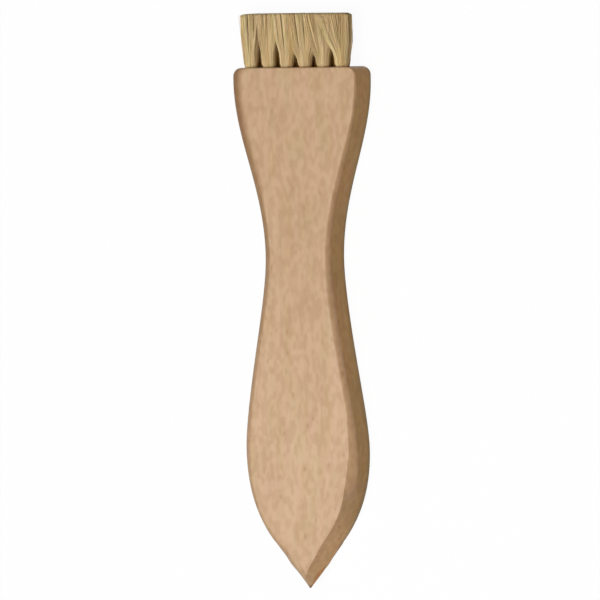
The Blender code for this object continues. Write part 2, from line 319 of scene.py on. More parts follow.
def half_depth_at(stations, sizes):
    """Half the thickness, d: the lesser of the full one and one that tapers to the tip at one angle.

    Where the two differ by less than the turn c, by g, d is less by (c - g)^2 / (4 c), which rounds the
    turn. A quarter circle eases off the head's end.
    """
    turn = 2.2 * MM
    tapered = sizes.tip_flat / 2 + stations * math.tan(sizes.tip_taper)
    gap = np.abs(tapered - HALF_THICKNESS)
    depth = np.minimum(tapered, HALF_THICKNESS) - np.maximum(turn - gap, 0) ** 2 / (4 * turn)
    depth = np.maximum(depth, sizes.tip_flat / 2)
    past = np.clip(stations - (HANDLE_LENGTH - sizes.end_ease), 0, sizes.end_ease)
    return depth - sizes.end_ease + np.sqrt(sizes.end_ease**2 - past**2)


def corner_eases(stations, sizes):
    """For each corner, right front, left front, left back and right back: (across, deep, roundness).

    Across and deep say how far the corner's rounding reaches along the face and down the side.
    Roundness 2 is an ellipse's quarter, and roundness 1 a straight bevel. A table has these three at
    knots, which are stations in mm, and between them they follow smooth_between.
    """
    crisp = np.array((sizes.right_ease, sizes.right_ease))
    bevel = np.array((sizes.crescent_width, sizes.crescent_height))
    facet = np.array((sizes.facet_width, sizes.facet_height))
    worn = (sizes.left_reach, sizes.left_drop)
    grip = np.array((sizes.grip_ease, sizes.grip_ease))
    back_end = (sizes.back_ease, sizes.back_ease)
    right = (
        (0, *facet, 1.1),
        (12, *facet, 1.1),
        (22, *(0.95 * facet), 1.1),
        (30, *(1.15 * bevel), 1.15),
        (42, *(0.95 * bevel), 1.3),
        (50, *(0.9 * bevel), 1.8),
        (62, *(1.05 * bevel), 1.9),
        (78, *(1.1 * bevel), 1.9),
        (92, *(0.95 * bevel), 1.9),
        (108, *(0.8 * bevel), 1.9),
        (120, *(1.7 * crisp), 1.9),
        (133, *(1.1 * crisp), 1.9),
        (145, *crisp, 1.9),
    )
    left = (
        (0, *(grip * (0.2, 0.1)), 1.5),
        (20, *(grip * (0.7, 0.6)), 1.5),
        (40, *grip, 1.6),
        (100, *(1.1 * grip), 1.6),
        (122, *worn, 2.0),
        (145, *worn, 2.0),
    )
    back = (
        (0, *(0.05 * grip), 2.0),
        (20, *(0.3 * grip), 2.0),
        (40, *(0.5 * grip), 2.0),
        (100, *back_end, 2.0),
        (145, *back_end, 2.0),
    )
    eases = []
    for table in (right, left, back, back):
        knots, *columns = np.transpose(table)
        eases.append([smooth_between(stations / MM, knots, column) for column in columns])
    return eases


def handle_rings(sizes):
    """Rings of points across the handle, one at each station from the tip to the head's end.

    A ring is a rectangle with four rounded corners. With the half width w, the half depth d and a
    corner's reaches a and b, the corner's points are (w - a + a cos(t)^(2/n), d - b + b sin(t)^(2/n))
    for t from 0 to a quarter turn, where n is its roundness. Straight runs join the corners.

    A and b have a most and a least, as shares of w and d. The least rounds off the whittled point, and
    smooth_between takes it from nearly 1 at the tip to 0 further up. All rings stand to the left by the
    bow, as exp(-((s - 62 mm) / 24 mm)^2) at station s.
    """
    point_end = 14 * MM
    point_rings, middle_rings, head_rings = 48, 210, 24
    corner_points, edge_points = 11, 8
    fine = np.linspace(0, point_end, point_rings)[:-1]
    plain = np.linspace(point_end, HANDLE_LENGTH - sizes.corner_radius, middle_rings)[:-1]
    turns = np.linspace(0, math.pi / 2, head_rings)
    rounded = HANDLE_LENGTH - sizes.corner_radius * (1 - np.sin(turns))
    stations = np.concatenate((fine, plain, rounded))
    width = half_width_at(stations, sizes)
    depth = half_depth_at(stations, sizes)
    t = np.linspace(0, math.pi / 2, corner_points)
    whittled = smooth_between(stations / MM, (0, 3, 7, 14), (0.97, 0.93, 0.5, 0.0))
    left_whittled = smooth_between(stations / MM, (0, 3, 8, 14, 22), (0.97, 0.94, 0.6, 0.22, 0.0))
    leasts = (np.zeros_like(stations), left_whittled, whittled, whittled)
    mosts = ((1.1, 1.5), (0.5, 0.8), (0.5, 0.8), (0.5, 0.45))
    corners = []
    for quarter, (across, deep, roundness) in enumerate(corner_eases(stations, sizes)):
        least = leasts[quarter]
        most_across, most_deep = mosts[quarter]
        across = np.maximum(np.minimum(across, most_across * width), least * width)[:, None]
        deep = np.maximum(np.minimum(deep, most_deep * depth), least * depth)[:, None]
        run, rise = (np.cos(t), np.sin(t)) if quarter in (0, 2) else (np.sin(t), np.cos(t))
        power = 2 / roundness[:, None]
        x = width[:, None] - across + across * np.clip(run, 0, 1) ** power
        z = depth[:, None] - deep + deep * np.clip(rise, 0, 1) ** power
        side = 1 if quarter in (0, 3) else -1
        face = 1 if quarter in (0, 1) else -1
        corners.append(np.stack((side * x, face * z), axis=-1))
    along = np.linspace(0, 1, edge_points)[1:-1, None]
    ring = []
    for corner, following in zip(corners, corners[1:] + corners[:1]):
        straight = corner[:, -1:] * (1 - along) + following[:, :1] * along
        ring.extend((corner, straight))
    ring = np.concatenate(ring, axis=1)
    bow = sizes.bow * np.exp(-(((stations - 62 * MM) / (24 * MM)) ** 2))
    x = ring[:, :, 0] - bow[:, None]
    y = np.broadcast_to(HANDLE_LOW.y + stations[:, None], x.shape)
    return np.stack((x, y, HALF_THICKNESS + ring[:, :, 1]), axis=-1)


def turned_rings(profile, centre, sides):
    """Rings of a turned solid along +Y: each (radius, y) of the profile, carried round the centre's axis."""
    angles = np.linspace(0, 2 * math.pi, sides, endpoint=False)
    radius = np.array(profile)[:, :1]
    y = np.broadcast_to(np.array(profile)[:, 1:], (len(profile), sides))
    x = centre.x + radius * np.cos(angles)
    z = centre.z + radius * np.sin(angles)
    return np.stack((x, y, z), axis=-1)


def box_rings(low, high):
    """The two square rings of a box between its lowest and its highest corner."""
    x = np.array((high.x, high.x, low.x, low.x))
    z = np.array((low.z, high.z, high.z, low.z))
    return np.stack([np.stack((x, np.full(4, y), z), axis=-1) for y in (low.y, high.y)])


def cut_out(target, cutter):
    """Takes the cutter's volume out of the target's mesh for good, and removes the cutter."""
    modifier = target.modifiers.new("cut", "BOOLEAN")
    modifier.operation = "DIFFERENCE"
    modifier.object = cutter
    graph = bpy.context.evaluated_depsgraph_get()
    whole = target.data
    target.data = bpy.data.meshes.new_from_object(target.evaluated_get(graph))
    target.modifiers.clear()
    bpy.data.meshes.remove(whole)
    cutter_mesh = cutter.data
    bpy.data.objects.remove(cutter, do_unlink=True)
    bpy.data.meshes.remove(cutter_mesh)


def make_handle(sizes, material):
    """The wood: a skin through its rings, a drilled hole for each tuft and a notch for each anchor."""
    handle = add_piece("beech_handle", skins_mesh("beech_handle", handle_rings(sizes)[None]), material)
    radius = sizes.hole_diameter / 2
    bottom = HANDLE_HIGH.y - sizes.hole_depth
    hole_sides = 40
    drill_slope = math.tan(math.radians(31))
    drill = (
        (0.02 * radius, bottom - radius * drill_slope),
        (radius, bottom),
        (radius, HANDLE_HIGH.y + 1 * MM),
    )
    centres = [anchor_centre(name.removeprefix("anchor_")) for name in ANCHOR_NODES]
    holes = np.stack([turned_rings(drill, centre, hole_sides) for centre in centres])
    cut_out(handle, add_piece("drill", skins_mesh("drill", holes)))
    room = Vector((sizes.notch_clearance,) * 3)
    boxes = [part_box(name) for name in ANCHOR_NODES]
    notches = np.stack([box_rings(low - room, high + room) for low, high in boxes])
    cut_out(handle, add_piece("notches", skins_mesh("notches", notches)))
    handle.data.name = "beech_handle"
    handle.data.shade_smooth()
    handle.data.set_sharp_from_angle(angle=math.radians(32))
    return handle


def half_disc_places(hairs, rng):
    """Places with z above 0 in a unit disc: point i of a sunflower spiral of n points lies at the radius
    sqrt((i + 0.5) / n), i golden angles round, and is then jittered by a quarter of the mean spacing."""
    spiral = 2 * hairs + 4
    index = np.arange(spiral)
    radius = np.sqrt((index + 0.5) / spiral)
    turn = index * math.pi * (3 - math.sqrt(5))
    places = np.stack((radius * np.cos(turn), radius * np.sin(turn)), axis=-1)
    places += rng.normal(0, 0.25 / math.sqrt(spiral), places.shape)
    return places[places[:, 1] > 0][:hairs]


def tuft_sides(ending, bristle):
    """How a tuft stands beside its neighbours, as pairs for its left and its right side: the share of the
    height at which it has spread, how far it then reaches, and the shares up to which it lies in full and
    in half shade."""
    row, number = ending.split("_")
    column = int(number) - 1
    gaps = sum(name.startswith(f"tuft_{row}_") for name in TUFT_NODES) - 1
    pitch = anchor_centre(f"{row}_2").x - anchor_centre(f"{row}_1").x
    closed = bristle.gap_heights if row == "front" else [bristle.hidden_gap] * gaps
    end_darks, end_half_darks = (0.02, 0.02), (1.1, 0.02)
    ends_and_gaps = (
        (bristle.end_heights, closed),
        (bristle.end_reaches, [pitch / 2 + bristle.overlap] * gaps),
        (end_darks, bristle.dark_heights),
        (end_half_darks, bristle.gap_heights),
    )
    pairs = [(ends[0], *inner, ends[1])[column : column + 2] for ends, inner in ends_and_gaps]
    if row == "back":
        pairs[0] = (bristle.hidden_gap,) * 2
        pairs[1] = (pitch / 2 + bristle.overlap,) * 2
        pairs[2:] = [(bristle.dark_heights[column],) * 2, (bristle.gap_heights[column],) * 2]
    return pairs


def between_sides(places, pair):
    """The pair's first value for hairs on the left of the tuft, its second on the right, mixed between."""
    rightness = np.clip(0.5 + places[:, 0] / 0.6, 0, 1)[:, None]
    return pair[0] + (pair[1] - pair[0]) * rightness


def leg_paths(places, heights, centre, sides, bristle, hole_radius, rng):
    """Where each leg of hair runs above the mouth, as (leg, height, xyz), for heights h from 0 to 1.

    Above the mouth the hole's disc swells and turns square as tanh(h / 0.04), by stretching each place
    away from the middle. A leg rises from its place there to its place in a wider, square cell, sideways
    by the share u^5 / (u^5 + 0.3), where u is h / c and c is the height at which the gap on its side has
    closed, and in depth by tanh(1.15 h / 0.3). Meanwhile it gathers towards the nearest clump's middle,
    bows out with its clump as sin(pi h), strays by an amount of its own that grows as h^1.5, and leans to
    the left as h^2. The trimmed top falls off to the right in proportion to x, and at its corners as the
    square of the way into the last 1.5 mm.
    """
    legs = len(places)
    clumps = rng.uniform(-1, 1, (bristle.clumps, 2))
    nearest = np.argmin(np.sum((places[:, None] - clumps[None]) ** 2, axis=-1), axis=1)
    h = heights[None, :, None]
    gathered = places[:, None] + bristle.clump_pull * h * (clumps[nearest] - places)[:, None]
    out = np.maximum(np.linalg.norm(gathered, axis=-1, keepdims=True), 1e-6)
    square = out / np.maximum(np.abs(gathered).max(axis=-1, keepdims=True), 1e-6)
    swelling = 1 + (bristle.mouth_flare + bristle.mouth_square * (square - 1)) * np.tanh(h / 0.04)
    root = gathered * swelling * (hole_radius - bristle.hair_diameter / 2)
    tip_x = gathered[..., 0] * square[..., 0] * between_sides(places, sides[1])
    tip_z = gathered[..., 1] * square[..., 0] * bristle.depth_reach
    risen = (heights / between_sides(places, sides[0])) ** 5
    x = root[..., 0] + (tip_x - root[..., 0]) * risen / (risen + 0.3)
    z = root[..., 1] + (tip_z - root[..., 1]) * np.tanh(1.15 * heights / 0.3)
    bow = rng.normal(0, bristle.wave, (bristle.clumps, 2))[nearest]
    stray = np.clip(rng.normal(0, bristle.waver, (legs, 2)), -3 * bristle.waver, 3 * bristle.waver)
    flat = np.stack((x, z), axis=-1) + bow[:, None] * np.sin(math.pi * h) + stray[:, None] * h**1.5
    x = centre.x + flat[..., 0] - bristle.lean * heights**2
    z = centre.z + flat[..., 1]
    corner_run = 1.5 * MM
    fall = bristle.right_fall * np.clip(x[:, -1] / ROW_END, 0, 1)
    fall += bristle.corner_fall * np.clip((np.abs(x[:, -1]) - ROW_END + corner_run) / corner_run, 0, 1) ** 2
    top = BRISTLE_END - fall - rng.uniform(0, bristle.trim, legs)
    y = HANDLE_HIGH.y + (top[:, None] - HANDLE_HIGH.y) * heights[None]
    return np.stack((x, y, z), axis=-1), nearest


def leg_shade(places, heights, sides, half_shade, inner):
    """How deep each leg lies in the block's shade, from 0 to 1: it is buried if |z| of its place is low, or
    wholly if it faces the other row. Full shade fades with height as 1.4 - h / c and the half shade above
    it as 4 (1.1 - h / c), each cut to 0 and 1 and with its own c."""
    buried = np.clip((0.5 - np.abs(places[:, 1])) / 0.4, 0, 1)
    buried = np.ones_like(buried) if inner else buried
    full = np.clip(1.4 - heights / between_sides(places, sides[2]), 0, 1)
    half = half_shade * np.clip(4 * (1.1 - heights / between_sides(places, sides[3])), 0, 1)
    return buried[:, None] * np.maximum(full, half)


def hair_paths(ending, bristle, hole_radius, rng):
    """Each hair's whole path, as (hair, point, xyz), with the tone of its two legs and its shade.

    A hair comes down one leg in front of the anchor, turns under it along half an ellipse that is deeper
    the further out the hair lies, and goes up its other leg behind the anchor. On the front row the hairs
    near the fan's middle, at the tuft's front left, fan out: to the left by 3 u^2 - 2 u^3, where u is 0 at
    0.15 of the height and 1 at the top, and a little to the front.
    """
    anchor_low, anchor_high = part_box(f"anchor_{ending}")
    centre = anchor_centre(ending)
    sides = tuft_sides(ending, bristle)
    front = half_disc_places(bristle.hairs, rng)
    back = front * (1, -1) + rng.normal(0, 0.02, front.shape)
    on_front = ending.startswith("front")
    low = (0.0, 0.07, 0.17, 0.3) if on_front else (0.0, 0.015, 0.1, 0.3)
    heights = np.array((*low, 0.5, 0.96, 1.0))
    front_leg, front_clump = leg_paths(front, heights, centre, sides, bristle, hole_radius, rng)
    back_leg, back_clump = leg_paths(back, heights, centre, sides, bristle, hole_radius, rng)
    clump_tone = rng.normal(0, 0.15, (2, bristle.clumps))
    tone = np.stack((clump_tone[0][front_clump], clump_tone[1][back_clump]), axis=1)
    tone = 0.5 + tone + rng.normal(0, 0.14, (len(front), 1))
    if on_front:
        fan_middle, fan_radius, fan_rise = (-0.45, 0.8), 0.75, 0.3 * MM
        away = np.linalg.norm(front - fan_middle, axis=1)
        fan = np.clip(1 - away / fan_radius, 0, 1) ** 0.7
        u = np.clip((heights - 0.15) / 0.85, 0, 1)
        bent = fan[:, None] * u * u * (3 - 2 * u)
        front_leg[..., 0] -= bristle.fan_leans[int(ending.split("_")[1]) - 1] * bent
        front_leg[..., 2] += fan_rise * np.minimum(4 * bent, fan[:, None])
        tone[:, 0] += 0.15 * fan
    turn = np.array((0.0, 0.5, 1.0)) * math.pi
    front_shade = leg_shade(front, heights, sides, bristle.half_shade, not on_front)
    back_shade = leg_shade(back, heights, sides, bristle.half_shade, on_front)
    fold_shade = np.ones((len(front), len(turn)))
    shade = np.concatenate((front_shade[:, ::-1], fold_shade, back_shade), axis=1)
    reach = hole_radius - bristle.hair_diameter
    clear = (anchor_high.z - anchor_low.z) / 2 + bristle.hair_diameter
    aside = clear + front[:, 1] * (reach - clear)
    x = centre.x + front[:, 0] * reach
    depth = 0.15 * MM + 0.6 * aside
    low_z = centre.z + aside[:, None] * np.cos(turn)
    low_y = anchor_low.y - depth[:, None] * np.sin(turn)
    fold = np.stack((np.broadcast_to(x[:, None], low_z.shape), low_y, low_z), axis=-1)
    path = np.concatenate((front_leg[:, ::-1], fold, back_leg), axis=1)
    return path, np.clip(tone, 0, 1), shade


def tube_rings(paths, radii, sides):
    """Rings round each path: centre + r (cos(a) b + sin(a) n), where b is +X made square to the path and
    n is square to both. The paths never run along X."""
    tangent = np.gradient(paths, axis=1)
    tangent /= np.linalg.norm(tangent, axis=-1, keepdims=True)
    b = np.array((1.0, 0.0, 0.0)) - tangent[..., :1] * tangent
    b /= np.linalg.norm(b, axis=-1, keepdims=True)
    n = np.cross(b, tangent)
    angles = np.arange(sides) * 2 * math.pi / sides
    across = np.cos(angles)[:, None] * b[:, :, None] + np.sin(angles)[:, None] * n[:, :, None]
    return paths[:, :, None] + radii[:, None, None, None] * across


def add_attribute(mesh, name, values):
    """Stores one number for each point of the mesh, for the material to read."""
    mesh.attributes.new(name, "FLOAT", "POINT").data.foreach_set("value", values.astype(np.float32).ravel())


def make_tuft(ending, seed, bristle, handle, material):
    """One tuft: its hairs are closed tubes of three sides along their paths, all in one mesh."""
    rng = np.random.default_rng(seed)
    paths, tone, shade = hair_paths(ending, bristle, handle.hole_diameter / 2, rng)
    hairs, points = paths.shape[:2]
    radii = bristle.hair_diameter / 2 * rng.uniform(0.8, 1.2, hairs)
    sides = 3
    name = f"bristle_{ending}"
    mesh = skins_mesh(name, tube_rings(paths, radii, sides))
    halves = np.where(np.arange(points) < points // 2, 0, 1)
    add_attribute(mesh, "hair_tone", np.repeat(tone[:, halves][:, :, None], sides, axis=2))
    add_attribute(mesh, "hair_shade", np.repeat(shade[:, :, None], sides, axis=2))
    mesh.shade_smooth()
    return add_piece(name, mesh, material)


def add_node(tree, kind, inputs, **settings):
    """A new node with its settings. Each input, by name or number, is a value or another node's output."""
    node = tree.nodes.new(kind)
    for key, value in settings.items():
        setattr(node, key, value)
    for key, value in inputs.items():
        if isinstance(value, bpy.types.NodeSocket):
            tree.links.new(value, node.inputs[key])
        else:
            node.inputs[key].default_value = value
    return node


def mixed(tree, factor, first, second, blend="MIX"):
    """The first colour, blended towards the second as far as the factor says."""
    inputs = {0: factor, 6: first, 7: second}
    return add_node(tree, "ShaderNodeMix", inputs, data_type="RGBA", blend_type=blend).outputs[2]


def tinted(tree, start, *steps):
    """The start colour, multiplied in each step (factor, r, g, b) by r, g, b as far as the factor says."""
    for factor, *tint in steps:
        start = mixed(tree, factor, start, (*tint, 1.0), "MULTIPLY")
    return start


def maths(tree, operation, *values):
    """The result of one step of arithmetic on numbers or on other nodes' outputs."""
    return add_node(tree, "ShaderNodeMath", dict(enumerate(values)), operation=operation).outputs[0]


def vector_maths(tree, operation, inputs):
    return add_node(tree, "ShaderNodeVectorMath", inputs, operation=operation).outputs[0]


def product(tree, value, *others):
    """The value, multiplied by each of the others."""
    for other in others:
        value = maths(tree, "MULTIPLY", value, other)
    return value


def ranged(tree, value, low, high, out_low=0.0, out_high=1.0):
    """The value, taken smoothly from the range low to high to the range out_low to out_high."""
    inputs = {0: value, 1: low, 2: high, 3: out_low, 4: out_high}
    return add_node(tree, "ShaderNodeMapRange", inputs, interpolation_type="SMOOTHSTEP").outputs[0]


def noise_at(tree, vector, detail=2.0, roughness=0.5, scale=1.0):
    """Soft noise from 0 to 1, with about one swing in each unit of the vector times the scale."""
    inputs = {"Vector": vector, "Scale": scale, "Detail": detail, "Roughness": roughness}
    return add_node(tree, "ShaderNodeTexNoise", inputs).outputs["Fac"]


def stretched(tree, vector, *sizes):
    """The vector, in which one unit is the given millimetres along each axis."""
    inputs = {"Vector": vector, "Scale": [1 / (size * MM) for size in sizes]}
    return add_node(tree, "ShaderNodeMapping", inputs).outputs[0]


def new_material(name):
    """A material with nodes, as (material, its tree, its surface shader)."""
    material = bpy.data.materials.new(name)
    material.use_nodes = True
    return material, material.node_tree, material.node_tree.nodes["Principled BSDF"]


def opaque(colour_value):
    return (*colour_value, 1.0)


def beech_material(finish):
    """Beech as a solid pattern, with its growth layers, fibres, streaks, clouds and mottling as noise that
    is long along the grain, and its rays as the middles of a warped net's cells, drawn as short dashes.

    Then come the places that differ, by the way that the surface faces and by the place along the handle:
    painted shade on the edges that face left, on the bevel on the right and on the head's left edge; the
    yellower sides, with painted shade near their back edge and over the point's half of the handle and
    painted light close to the point; painted light on the head's end; and the darker tip.
    """
    material, tree, shader = new_material("beech_grain")
    coordinates = add_node(tree, "ShaderNodeTexCoord", {})
    place = coordinates.outputs["Object"]
    normal = coordinates.outputs["Normal"]
    along, height = add_node(tree, "ShaderNodeSeparateXYZ", {0: place}).outputs[1:3]
    normal_x, normal_y, normal_z = add_node(tree, "ShaderNodeSeparateXYZ", {0: normal}).outputs
    upward = maths(tree, "ABSOLUTE", normal_z)

    wander = {"Vector": stretched(tree, place, 5, 14, 5), "Scale": 1.0}
    warp = add_node(tree, "ShaderNodeTexNoise", wander).outputs["Color"]
    centred = vector_maths(tree, "ADD", {0: warp, 1: (-0.5, -0.5, -0.5)})
    shift = vector_maths(tree, "SCALE", {0: centred, "Scale": 1.6 * MM})
    warped = vector_maths(tree, "ADD", {0: place, 1: shift})

    ray_net = {"Vector": stretched(tree, warped, 1.5, 3.4, 9), "Scale": 1.0}
    ray_cells = add_node(tree, "ShaderNodeTexVoronoi", ray_net).outputs
    ray_pick = add_node(tree, "ShaderNodeSeparateColor", {0: ray_cells["Color"]}).outputs[0]
    rays = product(
        tree,
        ranged(tree, ray_cells["Distance"], 0.04, 0.34, 1.0, 0.0),
        ranged(tree, ray_pick, 0.4, 0.9),
        ranged(tree, along, -30 * MM, 40 * MM, 1.0, 0.6),
    )
    streaks = noise_at(tree, stretched(tree, warped, 1.2, 2.4, 2.0), 0.5, 0.4)
    clouds = noise_at(tree, stretched(tree, warped, 2.3, 10, 4), 1.0, 0.4)
    fibres = noise_at(tree, stretched(tree, warped, 0.3, 7, 0.5), 3.0, 0.6)
    layers = noise_at(tree, stretched(tree, warped, 9, 60, 1.3))
    mottling = noise_at(tree, stretched(tree, place, 4.5, 20, 6))
    blush = noise_at(tree, stretched(tree, place, 3.5, 15, 5))
    russet = noise_at(tree, stretched(tree, place, 4, 6, 3), 3.0, 0.55)

    # The front runs from the grip's colour to the head's, lighter towards the point: painted light.
    headwards = ranged(tree, along, -45 * MM, 35 * MM)
    base = tinted(
        tree,
        mixed(tree, headwards, opaque(finish.grip_wood), opaque(finish.head_wood)),
        (ranged(tree, mottling, 0.38, 0.64), 0.965, 0.975, 0.91),
        (ranged(tree, blush, 0.38, 0.64), 1.0, 0.96, 0.97),
        (ranged(tree, layers, 0.35, 0.65, 0.0, 0.5), 0.94, 0.91, 0.88),
        (ranged(tree, streaks, 0.36, 0.66), 0.90, 0.87, 0.84),
        (ranged(tree, clouds, 0.36, 0.64), 0.95, 0.94, 0.93),
        (ranged(tree, fibres, 0.35, 0.7, 0.0, 0.18), 0.92, 0.89, 0.86),
        (product(tree, rays, 0.85), 0.82, 0.75, 0.68),
    )
    # Painted shade on surfaces that face left, growing from a quarter near the point to full at the head.
    worn = ranged(tree, product(tree, normal_x, -1.0), 0.02, 0.5)
    worn = product(tree, worn, ranged(tree, along, -60 * MM, 50 * MM, 0.25, 1.0))
    # Painted shade on the bevel on the right, which faces between the front and the side, from near the
    # point to the head.
    bevel_shade = product(
        tree,
        ranged(tree, normal_x, 0.2, 0.5),
        ranged(tree, upward, 0.0, 0.45),
        ranged(tree, along, -62 * MM, -50 * MM),
    )
    # Painted shade on the head's left edge, where it faces left.
    head_left_shade = ranged(tree, normal_x, -0.5, -0.2, 1.0, 0.0)
    head_left_shade = product(tree, head_left_shade, ranged(tree, along, 36 * MM, 52 * MM))
    # These three tints darken the wood as painted shade.
    base = tinted(
        tree,
        base,
        (worn, 0.58, 0.50, 0.40),
        (bevel_shade, 0.73, 0.66, 0.57),
        (head_left_shade, 0.90, 0.87, 0.83),
    )
    side = tinted(
        tree,
        mixed(tree, 1.0, base, opaque(finish.side_tint), "MULTIPLY"),
        (ranged(tree, russet, 0.40, 0.62, 0.0, 0.4), 1.0, 0.83, 0.64),
        # Painted shade: the sides darken towards their back edge.
        (ranged(tree, height, 0.8 * MM, 3.4 * MM, 1.0, 0.0), 0.62, 0.70, 0.72),
        # Painted shade: the sides darken over the point's half of the handle.
        (ranged(tree, along, -50 * MM, 0.0, 1.0, 0.0), 0.87, 0.88, 0.86),
        # Painted light: the sides lighten and turn greyer close to the point.
        (ranged(tree, along, -70 * MM, -56 * MM, 1.0, 0.0), 1.54, 1.56, 2.25),
    )
    sideways = ranged(tree, upward, 0.0, 0.55, 1.0, 0.0)
    sideways = product(tree, sideways, ranged(tree, normal_y, 0.6, 0.95, 1.0, 0.0))
    near_tip = ranged(tree, along, HANDLE_LOW.y + 0.2 * MM, HANDLE_LOW.y + 1.3 * MM, 0.9, 0.0)
    base = tinted(
        tree,
        mixed(tree, sideways, base, side),
        # Painted light: the head's end face, which faces along +Y, is made lighter.
        (ranged(tree, normal_y, 0.6, 0.95), 1.15, 1.08, 1.0),
        (near_tip, 0.36, 0.30, 0.26),
    )
    tree.links.new(base, shader.inputs["Base Color"])
    tree.links.new(ranged(tree, fibres, 0.3, 0.7, 0.5, 0.64), shader.inputs["Roughness"])
    shader.inputs["Specular IOR Level"].default_value = 0.3
    relief = maths(tree, "SUBTRACT", fibres, product(tree, rays, 0.6))
    bump = add_node(
        tree, "ShaderNodeBump", {"Height": relief, "Strength": 0.15, "Distance": 0.08 * MM}
    )
    tree.links.new(bump.outputs[0], shader.inputs["Normal"])
    return material


def bristle_material(finish):
    """Natural bristle: each hair has its own tone, and painted shade darkens it where it lies deep in the
    block.
    """
    material, tree, shader = new_material("bristle_hairs")
    tone = add_node(tree, "ShaderNodeAttribute", {}, attribute_name="hair_tone").outputs["Fac"]
    shade = add_node(tree, "ShaderNodeAttribute", {}, attribute_name="hair_shade").outputs["Fac"]
    place = add_node(tree, "ShaderNodeTexCoord", {}).outputs["Object"]
    patches = noise_at(tree, stretched(tree, place, 2.5, 5, 3))
    grain = noise_at(tree, stretched(tree, place, 0.2, 2.5, 0.2), 2.0, 0.6)
    base = tinted(
        tree,
        mixed(tree, tone, opaque(finish.dark_bristle), opaque(finish.pale_bristle)),
        (ranged(tree, patches, 0.42, 0.64, 0.0, 0.7), 0.94, 0.98, 0.84),
        # Painted shade: hairs deep in the block and low in the gaps between tufts are darkened.
        (shade, 0.46, 0.295, 0.10),
    )
    tree.links.new(base, shader.inputs["Base Color"])
    tree.links.new(ranged(tree, grain, 0.3, 0.7, 0.45, 0.6), shader.inputs["Roughness"])
    shader.inputs["Specular IOR Level"].default_value = 0.35
    return material


def wire_material(finish):
    """Drawn steel wire: fine scratches along its length, with duller patches."""
    material, tree, shader = new_material("drawn_steel")
    place = add_node(tree, "ShaderNodeTexCoord", {}).outputs["Object"]
    scratches = noise_at(tree, stretched(tree, place, 3, 0.08, 0.08), 3.0, 0.6)
    patches = noise_at(tree, place, scale=900.0)
    dull_steel = (0.42, 0.41, 0.39, 1.0)
    base = mixed(tree, ranged(tree, patches, 0.4, 0.7), opaque(finish.wire), dull_steel)
    tree.links.new(base, shader.inputs["Base Color"])
    tree.links.new(ranged(tree, scratches, 0.3, 0.7, 0.25, 0.45), shader.inputs["Roughness"])
    shader.inputs["Metallic"].default_value = 1.0
    bump = add_node(tree, "ShaderNodeBump", {"Height": scratches, "Strength": 0.2, "Distance": 0.01 * MM})
    tree.links.new(bump.outputs[0], shader.inputs["Normal"])
    return material


def seen_rays(tree):
    """1 for rays from the camera, a gloss or a glass, and 0 for the rays that light a dull surface."""
    path = add_node(tree, "ShaderNodeLightPath", {})
    straight = maths(tree, "MAXIMUM", path.outputs["Is Camera Ray"], path.outputs["Is Glossy Ray"])
    return maths(tree, "MAXIMUM", straight, path.outputs["Is Transmission Ray"])


def floor_material(stage):
    """White where it is seen, with a faint shadow, and grey as a source of bounced light."""
    material = bpy.data.materials.new("pale_floor")
    material.use_nodes = True
    tree = material.node_tree
    tree.nodes.clear()
    glow = add_node(tree, "ShaderNodeEmission", {"Color": WHITE, "Strength": 1.0}).outputs[0]
    matt = add_node(tree, "ShaderNodeBsdfDiffuse", {"Color": (0.95, 0.95, 0.95, 1)}).outputs[0]
    shown = add_node(tree, "ShaderNodeMixShader", {0: stage.shadow_share, 1: glow, 2: matt}).outputs[0]
    grey = stage.floor_bounce
    bounce = add_node(tree, "ShaderNodeBsdfDiffuse", {"Color": (grey, grey, grey, 1)}).outputs[0]
    whole = add_node(tree, "ShaderNodeMixShader", {0: seen_rays(tree), 1: bounce, 2: shown}).outputs[0]
    add_node(tree, "ShaderNodeOutputMaterial", {"Surface": whole})
    return material


def make_floor(stage):
    """A square floor: its corners are every pair of plus and minus half its side."""
    half = 3.0
    x, y = np.meshgrid((-half, half), (-half, half))
    corners = np.stack((x.ravel(), y.ravel(), np.zeros(4)), axis=-1)
    mesh = bpy.data.meshes.new("floor")
    mesh.from_pydata(corners.tolist(), [], [(0, 1, 3, 2)])
    floor = add_piece("floor", mesh, floor_material(stage))


def make_world(stage):
    """Weak light from all round, behind which the camera, a gloss or a glass sees plain white."""
    world = bpy.data.worlds.new("studio")
    world.use_nodes = True
    tree = world.node_tree
    tree.nodes.clear()
    sky = add_node(tree, "ShaderNodeBackground", {"Color": WHITE, "Strength": stage.sky}).outputs[0]
    white = add_node(tree, "ShaderNodeBackground", {"Color": WHITE, "Strength": 1.0}).outputs[0]
    whole = add_node(tree, "ShaderNodeMixShader", {0: seen_rays(tree), 1: sky, 2: white}).outputs[0]
    add_node(tree, "ShaderNodeOutputWorld", {"Surface": whole})
    bpy.context.scene.world = world


def add_lamp(name, direction, distance, size, power):
    """A square lamp at that distance from the origin in that direction, shining at the origin."""
    lamp = bpy.data.lights.new(name, "AREA")
    lamp.shape = "SQUARE"
    lamp.size = size
    lamp.energy = power
    holder = bpy.data.objects.new(name, lamp)
    holder.visible_camera = False
    bpy.context.scene.collection.objects.link(holder)
    towards = Vector(direction).normalized()
    holder.location = towards * distance
    holder.rotation_euler = towards.to_track_quat("Z", "Y").to_euler()


